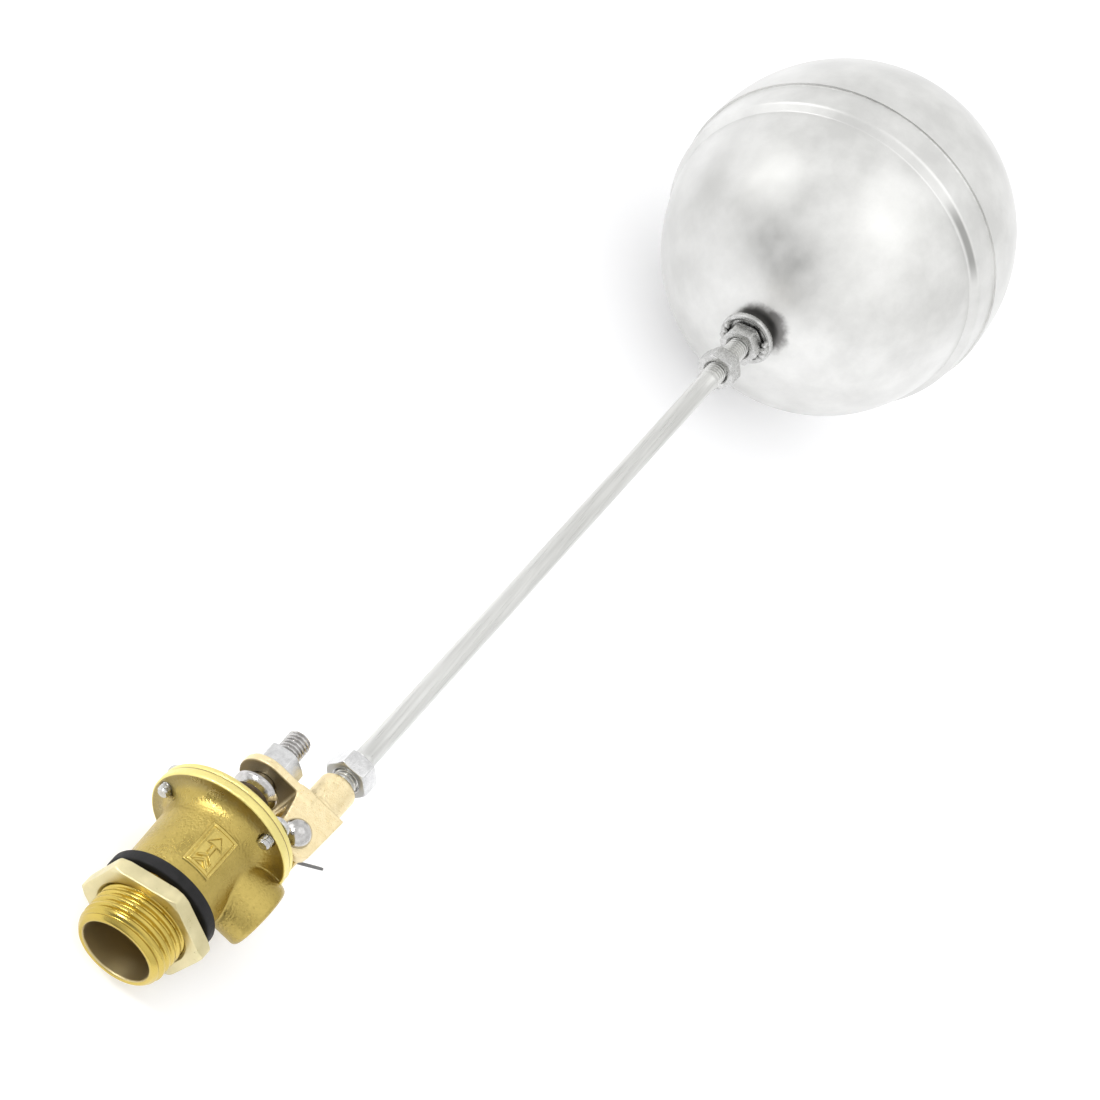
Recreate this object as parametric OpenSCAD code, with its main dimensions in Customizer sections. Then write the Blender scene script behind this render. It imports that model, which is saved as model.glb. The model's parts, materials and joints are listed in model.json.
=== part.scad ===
// Tank float valve with a G 1/2 inlet, a side outlet, a forked lever and a stainless ball float.
// Frame: the origin is the centre of the inlet mouth. +X runs along the inlet thread towards the
// float, the outlet points along -Y, and +Z runs along the lever pivot towards its domed head.

/* [Inlet] */
// Major diameter of the inlet thread, G 1/2
thread_d = 20.956; // [20.8:0.01:21.1]
// Length of the threaded inlet in front of the body shoulder
thread_len = 16.8; // [16.8:0.1:18]
// Bore of the inlet
inlet_bore_d = 16.3; // [15:0.1:17]
// Width of the back nut across its flats
back_nut_af = 26.5; // [26:0.5:30]
// Thickness of the back nut
back_nut_h = 3.6; // [3:0.1:3.6]
// Distance from the inlet mouth to the back nut
back_nut_x = 8.8; // [8.4:0.1:9]
// Outer diameter of the rubber tank washer
washer_d = 26.4; // [25:0.1:30]
// Thickness of the rubber tank washer
washer_h = 2.8; // [2:0.1:2.8]

/* [Body] */
// Diameter of the neck behind the shoulder
neck_d = 22.8; // [22.6:0.1:24]
// Distance from the inlet mouth to the front of the body flange
flange_x = 36.3; // [36:0.1:38]
// Thickness of the body flange
flange_h = 2; // [1.8:0.1:2.4]
// Diameter of the cover and its flange
flange_d = 34.6; // [34:0.1:38]
// Diameter of the side outlet boss
boss_d = 16.2; // [15:0.1:16.4]
// Distance from the valve axis to the end of the outlet boss
boss_reach = 18.6; // [18:0.1:30]
// Bore of the side outlet
outlet_bore_d = 11.2; // [8:0.1:12]

/* [Cover] */
// Thickness of the gasket between body and cover
gasket_h = 0.3; // [0.2:0.1:0.6]
// Thickness of the cover plate
cover_h = 1.3; // [1.2:0.1:1.9]
// Pitch circle diameter of the cover screws
screw_pcd = 29.4; // [29:0.1:30]
// Number of cover screws
screw_count = 3; // [3:1:3]
// Thread diameter of the cover screws
screw_d = 3; // [2.5:0.1:3]

/* [Lever] */
// Distance from the inlet mouth to the lever pivot
pivot_x = 46.4; // [46:0.1:48]
// Distance of the lever pivot below the valve axis
pivot_drop = 12; // [12:0.1:13]
// Diameter of the pivot pin
pin_d = 4; // [3.5:0.1:4.5]
// Width of the lever along the pivot
lever_w = 13; // [12:0.5:14]
// Width of the cover lug between the fork cheeks
lug_w = 5.8; // [5:0.1:6]
// Angle at which the rod droops from the valve axis when the valve is closed
rod_droop = 1.8; // [0:0.1:4]

/* [Float] */
// Diameter of the plain stretch of the rod
rod_d = 5.3; // [5:0.1:5.35]
// Thread diameter of the rod ends and the pad bolt
rod_thread_d = 6; // [6:0.1:6]
// Distance from the lever pivot to the middle of the float
float_reach = 275.2; // [260:0.1:400]
// Diameter of the float
float_d = 100; // [95:0.5:120]
// Thickness of the float's sheet steel
float_wall = 0.6; // [0.4:0.1:1]

/* [Hidden] */
$fn = 96;
eps = 0.01;
far = 200;

brass_cast = [0.72, 0.60, 0.28];
brass_bright = [0.86, 0.74, 0.36];
brass_pale = [0.90, 0.83, 0.60];
steel = [0.80, 0.80, 0.79];
rubber = [0.10, 0.10, 0.10];
rubber_brown = [0.22, 0.18, 0.15];

// Fits
running = 0.05;
loose = 0.3;
contact_gap = 0.05;

// Inlet and body
thread_r = thread_d / 2;
thread_chamfer = 1;
free_thread = 7.6;
run_r = thread_r - 0.18;
inlet_r = inlet_bore_d / 2;
inlet_depth = 15;
neck_r = neck_d / 2;
neck_flare = 0.5;
neck_fillet = 3.6;
flange_r = flange_d / 2;
flange_back = flange_x + flange_h;
chamber_r = 9.6;
chamber_x = 18.5;
seat_x = 31;
seat_bore_r = 4.6;
seat_lip_r = 5.4;
seat_tube_r = 6.6;
boss_x = 29;
boss_r = boss_d / 2;
outlet_r = outlet_bore_d / 2;
panel_x = 25.8;
panel_l = 11.2;
panel_w = 7;
panel_rim = 0.8;
panel_raise = 0.45;

// Cover
cover_x = flange_back + gasket_h;
cover_back = cover_x + cover_h;
cover_r = flange_r - 0.3;
skirt_x = 34.9;
skirt_r = 8.6;
cylinder_r = 6.9;
dome_r = 8.4;
dome_x = 42.4;
roof_x = 41.2;
nozzle_r = 2;
nozzle_tip_x = 48.45;
nozzle_hole_r = 0.75;
screw_r = screw_d / 2;
screw_tip_x = flange_x - 2;
screw_head_r = 2.9;
screw_head_h = 2;

// Piston, along the valve axis
core_r = 3.2;
rubber_back = seat_x + 2.05;
piston_flange_back = rubber_back + 1.6;
cup_seal_back = piston_flange_back + 2.3;
core_end = cup_seal_back + 2;
bleed_r = 0.5;
bleed_screw_r = 1.5;

// Lever, measured from the pivot
pivot_y = -pivot_drop;
pin_r = pin_d / 2;
pin_hole_r = pin_r + running;
cheek_gap = lug_w + 2 * loose;
lug_r = 4.1;
slot_end = 5.6;
arm_x = 7.5;
arm_h = 2.3;
arm_r = lever_w / 2;
socket_r = 4.6;
socket_end = 20.7;
rod_offset = -0.8;
head_r = 3.45;
head_h = 2.9;
pin_bottom = -9.8;
split_z = -8.3;
split_turn = 31.7;
wire_r = 0.8;

// Pad bolt, on the valve axis
pad_x = nozzle_tip_x + 0.15;
pad_r = 4.7;
pad_h = 2.2;
cup_x = 48.95;
cup_back = 52;
cup_r = 5.7;
bolt_tip_x = 68.8;
thread_end_r = rod_thread_d / 2;
nut_bore_r = thread_end_r + running;
nut_af = 10;
nut_h = 5;

// Rod and float, measured along the rod from the pivot
rod_start = 11.4;
lever_thread_end = 29.5;
lever_nut_x = 22.6;
float_thread_start = 196;
float_nut_lock_x = 200.4;
float_nut_x = 213.4;
float_nut_h = 4.7;
rod_end = 217.6;
float_r = float_d / 2;
front_r = 0.95 * float_r;
front_shift = -6.1;
shoulder_x = -12.4;
seam_x = -1.6;
rear_shift = 3.6;
front_pole = front_shift - front_r;
plate_r = 7.8;
plate_x = float_nut_x + float_nut_h;
plate_h = 1.6;
seam_h = 0.35;
seam_w = 1.6;

// Turns a profile of [radius, x] points about the X axis.
module turned(points) {
    rotate([0, 90, 0])
        rotate_extrude()
            polygon(points);
}

// A round bar along X from x0 to x1.
module bar(r, x0, x1) {
    translate([x0, 0, 0])
        rotate([0, 90, 0])
            cylinder(r = r, h = x1 - x0);
}

// Everything that is placed along the drooping rod, with the pivot as its own origin.
module along_rod() {
    translate([pivot_x, pivot_y, 0])
        rotate([0, 0, -rod_droop])
            translate([0, rod_offset, 0])
                children();
}

// A hexagon nut along X with chamfered corners and a plain bore at the thread's crest.
module hex_nut(af, h, x0, bore_r, turn = 0) {
    face_r = 0.99 * af / 2;
    cone_r = 1.3 * face_r;
    depth = 0.5 * (cone_r - face_r);
    difference() {
        intersection() {
            translate([x0, 0, 0])
                rotate([turn, 0, 0])
                    rotate([0, 90, 0])
                        cylinder(d = 2 * af / sqrt(3), h = h, $fn = 6);
            turned([
                [0, x0], [face_r, x0], [cone_r, x0 + depth],
                [cone_r, x0 + h - depth], [face_r, x0 + h], [0, x0 + h]
            ]);
        }
        bar(bore_r, x0 - 1, x0 + h + 1);
    }
}

// Places its children at each cover screw; the first screw is opposite the outlet.
module at_screws() {
    for (i = [0 : screw_count - 1])
        rotate([i * 360 / screw_count, 0, 0])
            translate([0, screw_pcd / 2, 0])
                children();
}

// Radius of the slightly flared neck at x.
function neck_radius(x) = neck_r + neck_flare * (x - thread_len) / (flange_x - thread_len);
// Quarter fillet between the neck and the flange, as profile points.
function fillet_points() = let (
    x0 = flange_x - neck_fillet,
    r0 = neck_radius(x0) + neck_fillet
) [for (a = [0 : 10 : 90]) [r0 - neck_fillet * cos(a), x0 + neck_fillet * sin(a)]];

module body_outside() {
    turned(concat(
        [
            [0, 0], [thread_r - thread_chamfer, 0], [thread_r, thread_chamfer],
            [thread_r, free_thread], [run_r, free_thread + 0.1], [run_r, thread_len],
            [neck_r - 0.3, thread_len], [neck_r, thread_len + 0.3]
        ],
        fillet_points(),
        [
            [flange_r - 0.5, flange_x], [flange_r - 0.2, flange_x + 0.3],
            [flange_r - 0.2, flange_back], [0, flange_back]
        ]
    ));
    translate([boss_x, 0, 0])
        rotate([90, 0, 0])
            cylinder(r = boss_r, h = boss_reach);
}

module body_waterways() {
    // Inlet bore, seat bore and the ring-shaped chamber round the seat tube
    bar(inlet_r, -1, inlet_depth);
    bar(seat_bore_r, 0, seat_x + 1);
    turned([
        [seat_tube_r, chamber_x], [chamber_r, chamber_x], [chamber_r, flange_back + 1],
        [0, flange_back + 1], [0, seat_x], [seat_lip_r, seat_x],
        [seat_lip_r, seat_x - 1], [seat_tube_r, seat_x - 1]
    ]);
    translate([boss_x, -seat_tube_r - 0.6, 0])
        rotate([90, 0, 0])
            cylinder(r = outlet_r, h = boss_reach);
}

// Raised rim with a plain flow arrow, on the side of the neck.
module flow_panel() {
    arrow_half = 0.28 * panel_w;
    shaft_half = 0.11 * panel_w;
    tip = 0.36 * panel_l;
    intersection() {
        translate([panel_x, 0, neck_r - 2])
            linear_extrude(4) {
                difference() {
                    square([panel_l, panel_w], center = true);
                    square([panel_l - 2 * panel_rim, panel_w - 2 * panel_rim], center = true);
                }
                polygon([
                    [-tip, -shaft_half], [0, -shaft_half], [0, -arrow_half], [tip, 0],
                    [0, arrow_half], [0, shaft_half], [-tip, shaft_half]
                ]);
            }
        bar(neck_radius(panel_x) + panel_raise, thread_len, flange_x);
    }
}

module valve_body() {
    color(brass_cast)
        difference() {
            union() {
                body_outside();
                flow_panel();
            }
            body_waterways();
            at_screws()
                bar(screw_r + 0.02, flange_x - 4, flange_back + 1);
        }
}

module back_nut() {
    color(brass_pale)
        hex_nut(back_nut_af, back_nut_h, back_nut_x, thread_r + running, 5);
}

module tank_washer() {
    inner_r = thread_r + running;
    back = thread_len - contact_gap;
    edge = 0.4;
    color(rubber)
        turned([
            [inner_r, back - washer_h], [washer_d / 2 - edge, back - washer_h],
            [washer_d / 2, back - washer_h + edge], [washer_d / 2, back - edge],
            [washer_d / 2 - edge, back], [inner_r, back]
        ]);
}

module body_gasket() {
    color(rubber)
        difference() {
            turned([
                [chamber_r, flange_back], [flange_r - 0.4, flange_back],
                [flange_r - 0.4, cover_x], [chamber_r, cover_x]
            ]);
            at_screws()
                bar(screw_r + running, flange_back - 1, cover_x + 1);
        }
}

// Lug that carries the lever pivot, standing on the cover between the fork cheeks.
module cover_lug() {
    base_low = pivot_y - 4.6;
    base_high = pivot_y + 4.6;
    translate([0, 0, -lug_w / 2])
        linear_extrude(lug_w) {
            translate([pivot_x, pivot_y])
                circle(r = lug_r);
            polygon([
                [cover_x + 0.5, base_low], [cover_back + 1, base_low],
                [pivot_x - 1, pivot_y - lug_r + 0.15], [pivot_x, pivot_y],
                [pivot_x - 1, pivot_y + lug_r - 0.15],
                [cover_back + 1, base_high], [cover_x + 0.5, base_high]
            ]);
        }
}

module cover() {
    dome_edge = 2;
    color(brass_cast)
        difference() {
            union() {
                turned([
                    [0, skirt_x], [skirt_r, skirt_x], [skirt_r, cover_x], [cover_r - 0.2, cover_x],
                    [cover_r, cover_x + 0.2], [cover_r, cover_back - 0.3], [cover_r - 0.3, cover_back],
                    [dome_r, cover_back], [dome_r, dome_x - dome_edge],
                    [dome_r - 0.6 * dome_edge, dome_x - 0.4 * dome_edge],
                    [dome_r - 1.5 * dome_edge, dome_x], [0, dome_x]
                ]);
                cover_lug();
            }
            bar(cylinder_r, skirt_x - 1, roof_x);
            bar(nozzle_r + 0.02, roof_x - 1, dome_x + 1);
            at_screws()
                bar(screw_r + running, cover_x - 1, cover_back + 1);
            translate([pivot_x, pivot_y, -lug_w])
                cylinder(r = pin_hole_r, h = 2 * lug_w);
        }
}

// One pan-head screw with a cross slot, driven from the cover side.
module cover_screw() {
    slot_w = 0.7;
    slot_l = 3.4;
    difference() {
        turned([
            [0, screw_tip_x], [screw_r - 0.4, screw_tip_x], [screw_r, screw_tip_x + 0.4],
            [screw_r, cover_back + contact_gap], [screw_head_r, cover_back + contact_gap],
            [screw_head_r, cover_back + 0.5 * screw_head_h],
            [0.75 * screw_head_r, cover_back + 0.9 * screw_head_h],
            [0.4 * screw_head_r, cover_back + screw_head_h], [0, cover_back + screw_head_h]
        ]);
        for (turn = [0, 90])
            rotate([turn, 0, 0])
                translate([cover_back + 0.5 * screw_head_h, -slot_l / 2, -slot_w / 2])
                    cube([screw_head_h, slot_l, slot_w]);
    }
}

module cover_screws() {
    color(steel)
        at_screws()
            cover_screw();
}

module pilot_nozzle() {
    collar_r = 3.2;
    collar_h = 2;
    color(brass_bright)
        turned([
            [nozzle_hole_r, roof_x], [nozzle_r, roof_x], [nozzle_r, dome_x + contact_gap],
            [collar_r, dome_x + contact_gap], [collar_r, dome_x + collar_h],
            [nozzle_r, dome_x + collar_h + 0.6], [nozzle_r - 0.5, nozzle_tip_x],
            [nozzle_hole_r, nozzle_tip_x]
        ]);
}

// Main piston: its front flange carries the seat rubber and its core carries the cup seal.
module main_piston() {
    color(brass_bright)
        turned([
            [bleed_screw_r + running, rubber_back], [cylinder_r - 0.6, rubber_back],
            [cylinder_r - 0.6, piston_flange_back], [core_r, piston_flange_back],
            [core_r, core_end], [bleed_screw_r + running, core_end]
        ]);
}

module seat_rubber() {
    color(rubber)
        turned([
            [bleed_screw_r + running, seat_x + contact_gap], [seat_lip_r + 0.8, seat_x + contact_gap],
            [seat_lip_r + 0.8, rubber_back], [bleed_screw_r + running, rubber_back]
        ]);
}

module bleed_screw() {
    head_r = 3;
    head_h = 1.6;
    color(brass_bright)
        turned([
            [bleed_r, seat_x - head_h], [head_r, seat_x - head_h], [head_r, seat_x + contact_gap],
            [bleed_screw_r, seat_x + contact_gap], [bleed_screw_r, core_end - 1],
            [bleed_r, core_end - 1]
        ]);
}

// Cup-shaped seal whose lip faces the pressure side behind the piston.
module piston_cup_seal() {
    lip = 1.2;
    web = 1.2;
    color(rubber)
        turned([
            [core_r + running, piston_flange_back + running],
            [cylinder_r - running, piston_flange_back + running],
            [cylinder_r - running, cup_seal_back + 1], [cylinder_r - lip, cup_seal_back + 1],
            [cylinder_r - lip, piston_flange_back + web], [core_r + running, piston_flange_back + web]
        ]);
}

module piston_nut() {
    color(brass_bright)
        hex_nut(8.4, 2.4, piston_flange_back + 1.3, core_r + running);
}

// Pivot pin with a polished domed head above the lever.
module pivot_pin() {
    ball_r = (head_r * head_r + head_h * head_h) / (2 * head_h);
    head_z = lever_w / 2 + 2 * running;
    color(steel)
        translate([pivot_x, pivot_y, 0])
            difference() {
                union() {
                    translate([0, 0, pin_bottom])
                        cylinder(r = pin_r, h = head_z - pin_bottom + eps);
                    intersection() {
                        translate([0, 0, head_z + head_h - ball_r])
                            sphere(r = ball_r);
                        translate([0, 0, head_z])
                            cylinder(r = head_r + 1, h = head_h + 1);
                    }
                }
                translate([0, 0, split_z])
                    rotate([90, 0, split_turn])
                        cylinder(r = wire_r + running, h = 3 * pin_d, center = true);
            }
}

// Split pin: an eye on one side of the pivot pin, a straight leg and a short bent leg on the other.
module split_pin() {
    leg_r = 0.38;
    long_leg = 10.2;
    short_leg = 4.5;
    bend = 60;
    eye_r = 1.3;
    color(steel)
        translate([pivot_x, pivot_y, split_z])
            rotate([90, 0, split_turn]) {
                translate([0, 0, -pin_r - 1])
                    cylinder(r = wire_r, h = 2 * pin_r + 2.4);
                translate([0, 0.35, pin_r + 1])
                    cylinder(r = leg_r, h = long_leg);
                translate([0, -0.35, pin_r + 1])
                    rotate([bend, 0, 0])
                        cylinder(r = leg_r, h = short_leg);
                translate([0, 0, -pin_r - 1 - eye_r])
                    rotate([90, 0, 0])
                        rotate_extrude()
                            translate([eye_r, 0])
                                circle(r = 0.5);
            }
}

// Outline of the fork cheeks in the plane of the lever's swing, from the pivot.
module cheek_outline() {
    nose_r = 4.4;
    circle(r = nose_r);
    polygon([
        [-nose_r, 0], [-nose_r, -2.5], [-3.4, -4.5], [-2.4, -5.3], [10.4, -6.3], [10.4, 3.6],
        [arm_x + arm_h, 5.8], [arm_x, 5.6], [1, 4.3]
    ]);
}

module lever_arm() {
    translate([arm_x, 0, 0])
        rotate([90, 0, 90])
            linear_extrude(arm_h) {
                translate([pivot_drop, 0])
                    circle(r = arm_r);
                translate([2, -arm_r])
                    square([pivot_drop - 2, lever_w]);
            }
}

module lever() {
    color(brass_pale)
        difference() {
            union() {
                translate([pivot_x, pivot_y, 0]) {
                    translate([0, 0, -lever_w / 2])
                        linear_extrude(lever_w)
                            cheek_outline();
                    lever_arm();
                }
                along_rod()
                    turned([
                        [0, 8], [socket_r, 8], [socket_r, socket_end - 1],
                        [socket_r - 1, socket_end], [0, socket_end]
                    ]);
            }
            translate([pivot_x, pivot_y, 0]) {
                translate([slot_end - 30, -15, -cheek_gap / 2])
                    cube([30, 30, cheek_gap]);
                cylinder(r = pin_hole_r, h = 2 * lever_w, center = true);
                translate([0, pivot_drop, 0])
                    bar(nut_bore_r, arm_x - 1, arm_x + arm_h + 1);
            }
            along_rod()
                bar(nut_bore_r, rod_start - 0.4, socket_end + 1);
        }
}

module valve_pad() {
    color(rubber_brown)
        turned([
            [0, pad_x], [pad_r - 0.3, pad_x], [pad_r - 0.1, pad_x + 0.2],
            [pad_r - 0.1, pad_x + pad_h], [0, pad_x + pad_h]
        ]);
}

// Bolt with a rounded cup head that holds the pad.
module pad_bolt() {
    floor_x = pad_x + pad_h + contact_gap;
    color(steel)
        turned([
            [0, floor_x], [pad_r, floor_x], [pad_r, cup_x], [cup_r - 0.4, cup_x], [cup_r, cup_x + 0.4],
            [cup_r, cup_x + 1.4], [cup_r - 0.4, cup_back - 0.8], [cup_r - 1.3, cup_back - 0.15],
            [cup_r - 2.2, cup_back], [thread_end_r, cup_back], [thread_end_r, bolt_tip_x - 0.6],
            [thread_end_r - 0.6, bolt_tip_x], [0, bolt_tip_x]
        ]);
}

module pad_bolt_nut() {
    color(steel)
        hex_nut(nut_af, nut_h, pivot_x + arm_x + arm_h + contact_gap, nut_bore_r, 10);
}

// Rod with a thread at both ends and a thinner plain stretch between them.
module float_rod() {
    plain_r = rod_d / 2;
    step = thread_end_r - plain_r;
    color(steel)
        along_rod()
            turned([
                [0, rod_start], [thread_end_r - 0.5, rod_start], [thread_end_r, rod_start + 0.5],
                [thread_end_r, lever_thread_end], [plain_r, lever_thread_end + step],
                [plain_r, float_thread_start - step], [thread_end_r, float_thread_start],
                [thread_end_r, rod_end - 0.5], [thread_end_r - 0.5, rod_end], [0, rod_end]
            ]);
}

module rod_nut_lever() {
    color(steel)
        along_rod()
            hex_nut(nut_af, nut_h, lever_nut_x, nut_bore_r, 20);
}

module rod_nut_float() {
    color(steel)
        along_rod()
            hex_nut(nut_af, nut_h, float_nut_lock_x, nut_bore_r, 14);
}

module float_nut() {
    color(steel)
        along_rod()
            hex_nut(nut_af, float_nut_h, float_nut_x, nut_bore_r, 0);
}

// Round plate with a short hub, welded between the nut and the front of the float.
module float_flange() {
    hub_r = 5;
    color(steel)
        along_rod()
            turned([
                [0, plate_x], [plate_r - 0.3, plate_x], [plate_r, plate_x + 0.3],
                [plate_r, plate_x + plate_h], [hub_r, plate_x + plate_h],
                [hub_r, float_reach + front_pole + 0.2], [0, float_reach + front_pole - contact_gap]
            ]);
}

// Front dome with the shoulder and belt that take it up to the seam.
module float_front_shell() {
    belt_r = 0.985 * float_r;
    color(steel)
        along_rod()
            translate([float_reach, 0, 0])
                difference() {
                    union() {
                        intersection() {
                            translate([front_shift, 0, 0])
                                sphere(r = front_r);
                            bar(far, -far, shoulder_x);
                        }
                        turned([
                            [0, shoulder_x], [belt_r - 1.4, shoulder_x], [belt_r, shoulder_x + 1.4],
                            [float_r, seam_x - contact_gap], [0, seam_x - contact_gap]
                        ]);
                    }
                    intersection() {
                        translate([front_shift, 0, 0])
                            sphere(r = front_r - float_wall);
                        bar(far, -far, shoulder_x + 0.5);
                    }
                    turned([
                        [0, shoulder_x + 0.4], [belt_r - 1.6 - float_wall, shoulder_x + 0.4],
                        [belt_r - float_wall, shoulder_x + 1.9],
                        [float_r - float_wall, seam_x - contact_gap],
                        [float_r - float_wall, seam_x + 1], [0, seam_x + 1]
                    ]);
                }
}

module float_rear_shell() {
    color(steel)
        along_rod()
            translate([float_reach, 0, 0])
                difference() {
                    union() {
                        bar(float_r, seam_x, rear_shift);
                        intersection() {
                            translate([rear_shift, 0, 0])
                                sphere(r = float_r);
                            bar(far, rear_shift, far);
                        }
                    }
                    bar(float_r - float_wall, seam_x - 1, rear_shift);
                    intersection() {
                        translate([rear_shift, 0, 0])
                            sphere(r = float_r - float_wall);
                        bar(far, rear_shift - eps, far);
                    }
                }
}

module float_weld_seam() {
    color(steel)
        along_rod()
            translate([float_reach, 0, 0])
                turned([
                    [float_r + eps, seam_x - seam_w / 2], [float_r + seam_h, seam_x - seam_w / 4],
                    [float_r + seam_h, seam_x + seam_w / 4], [float_r + eps, seam_x + seam_w / 2]
                ]);
}

valve_body();
back_nut();
tank_washer();
body_gasket();
cover();
cover_screws();
pilot_nozzle();
main_piston();
seat_rubber();
bleed_screw();
piston_cup_seal();
piston_nut();
pivot_pin();
split_pin();
lever();
valve_pad();
pad_bolt();
pad_bolt_nut();
float_rod();
rod_nut_lever();
rod_nut_float();
float_nut();
float_flange();
float_front_shell();
float_rear_shell();
float_weld_seam();
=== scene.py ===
"""Looks for the tank float valve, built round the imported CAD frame.

Shapes are worked out in millimetres in the CAD frame: the origin is the centre of the inlet mouth,
+X runs along the thread towards the float, the outlet points along -Y and +Z runs along the pivot.
Turned pieces come from spin(), wires from tube(), and cast pieces from skin(), which meshes a
distance field.
"""
import itertools
import json
import math

import bmesh
import bpy
import numpy as np
from mathutils import Matrix, Vector

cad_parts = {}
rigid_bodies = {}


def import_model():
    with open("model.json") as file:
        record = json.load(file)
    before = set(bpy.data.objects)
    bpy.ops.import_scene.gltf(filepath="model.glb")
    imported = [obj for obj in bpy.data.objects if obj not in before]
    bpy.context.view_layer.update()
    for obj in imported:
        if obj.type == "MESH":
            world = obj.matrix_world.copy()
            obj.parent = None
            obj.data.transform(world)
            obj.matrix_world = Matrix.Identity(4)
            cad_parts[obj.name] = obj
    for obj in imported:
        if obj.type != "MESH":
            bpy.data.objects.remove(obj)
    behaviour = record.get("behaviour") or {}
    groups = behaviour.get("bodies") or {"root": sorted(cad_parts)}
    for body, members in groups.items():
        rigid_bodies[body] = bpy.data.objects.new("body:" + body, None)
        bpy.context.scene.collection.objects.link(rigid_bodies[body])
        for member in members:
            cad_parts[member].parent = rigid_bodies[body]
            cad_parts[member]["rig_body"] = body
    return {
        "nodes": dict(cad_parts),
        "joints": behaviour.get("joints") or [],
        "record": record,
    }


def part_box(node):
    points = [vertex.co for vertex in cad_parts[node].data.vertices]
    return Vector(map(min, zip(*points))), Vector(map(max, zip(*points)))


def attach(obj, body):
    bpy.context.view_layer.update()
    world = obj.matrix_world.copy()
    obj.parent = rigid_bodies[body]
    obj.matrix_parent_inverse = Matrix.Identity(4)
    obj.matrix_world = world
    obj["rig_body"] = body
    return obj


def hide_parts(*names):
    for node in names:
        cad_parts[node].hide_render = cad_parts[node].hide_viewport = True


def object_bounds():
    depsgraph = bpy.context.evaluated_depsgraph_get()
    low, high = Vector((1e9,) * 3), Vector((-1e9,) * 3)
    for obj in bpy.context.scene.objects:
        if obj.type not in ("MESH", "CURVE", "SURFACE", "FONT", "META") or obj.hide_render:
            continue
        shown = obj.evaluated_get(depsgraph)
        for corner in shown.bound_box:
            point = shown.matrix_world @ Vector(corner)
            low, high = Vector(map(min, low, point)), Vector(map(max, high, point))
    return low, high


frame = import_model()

cad_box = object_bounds()
MM = 0.001
TAU = 2 * math.pi
COS_45 = 0.7071
UNIT = np.eye(3)

# ---------------------------------------------------------------- sizes, in millimetres and degrees
THREAD_R = 10.478
THREAD_PITCH = 1.814
THREAD_DEPTH = 0.75
INLET_R = 8.15
INLET_DEPTH = 15.0
NECK_X, NECK_R, NECK_FLARE = 16.8, 11.4, 0.5
FLANGE_X, FLANGE_BACK, FLANGE_R = 36.3, 38.38, 17.15
BOSS_X, BOSS_R, BOSS_REACH, OUTLET_R = 29.0, 7.95, 18.6, 5.6
SEAT_X, SEAT_R, SEAT_LIP_R, SEAT_TUBE_R = 31.0, 4.6, 5.4, 6.6
CHAMBER_X, CHAMBER_R = 18.5, 9.6
COVER_X, COVER_BACK, COVER_R = 38.52, 39.9, 17.0
SKIRT_X, SKIRT_R, CYLINDER_R = 34.9, 8.6, 6.9
DOME_X, DOME_R, ROOF_X = 42.4, 8.4, 41.2
SCREW_RING, SCREW_R, SCREW_TIP_X = 14.7, 1.5, 34.3
PIVOT = 1000 * np.array(frame["joints"][0]["pos_m"])
PIN_R, HEAD_R, HEAD_H, PIN_BOTTOM = 2.0, 3.45, 2.9, -9.8
LUG_W, LUG_R, LUG_ROOT, LEVER_W, SLOT_W, SLOT_END = 5.8, 4.1, 4.6, 13.0, 6.4, 5.6
EYE_R, ARM_X, ARM_H = 4.4, 7.5, 2.3
SOCKET_R, SOCKET_START, SOCKET_END, ROD_DROOP, ROD_OFFSET = 4.6, 7, 20.7, 1.8, -0.8
M6_R, M6_PITCH, M6_DEPTH, M6_HOLE_R = 3.0, 1.0, 0.55, 3.05
NUT_FLATS, NUT_H = 10.0, 5.0
ROD_R, ROD_START, ROD_END = 2.65, 11.4, 217.6
LEVER_THREAD_END, FLOAT_THREAD_START = 29.5, 196.0
FLOAT_REACH, FLOAT_R, FLOAT_WALL = 275.2, 50.0, 0.6
FRONT_R, FRONT_SHIFT, SHOULDER_X, SEAM_X, REAR_SHIFT = 47.5, -6.1, -12.4, -1.6, 3.6
PLATE_X, PLATE_R, PLATE_H = 218.1, 7.8, 1.6
BACK_NUT_X, BACK_NUT_H, BACK_NUT_FLATS, BACK_NUT_TURN = 8.8, 3.6, 26.5, 5
WASHER_X, WASHER_BACK, WASHER_R, THREAD_HOLE_R = 13.95, 16.75, 13.2, 10.53
GASKET_X, GASKET_BACK, GASKET_R = 38.3, 38.6, 16.93
PAD_X, PAD_BACK, PAD_R = 48.75, 50.8, 4.2
BOLT_NUT_X, LEVER_NUT_X, FLOAT_NUT_X = 56.25, 22.6, 200.4
WELDED_NUT_X, WELDED_NUT_H = 213.4, 4.7
NOZZLE_TIP_X, NOZZLE_R, NOZZLE_BORE_R = 48.45, 2.0, 0.75
HOLE_GAP = 0.05
CASTING_CELL, LEVER_CELL = 0.25, 0.22

slot_of = {part["node"]: part["material_slot"] for part in frame["record"]["subparts"]}


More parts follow.
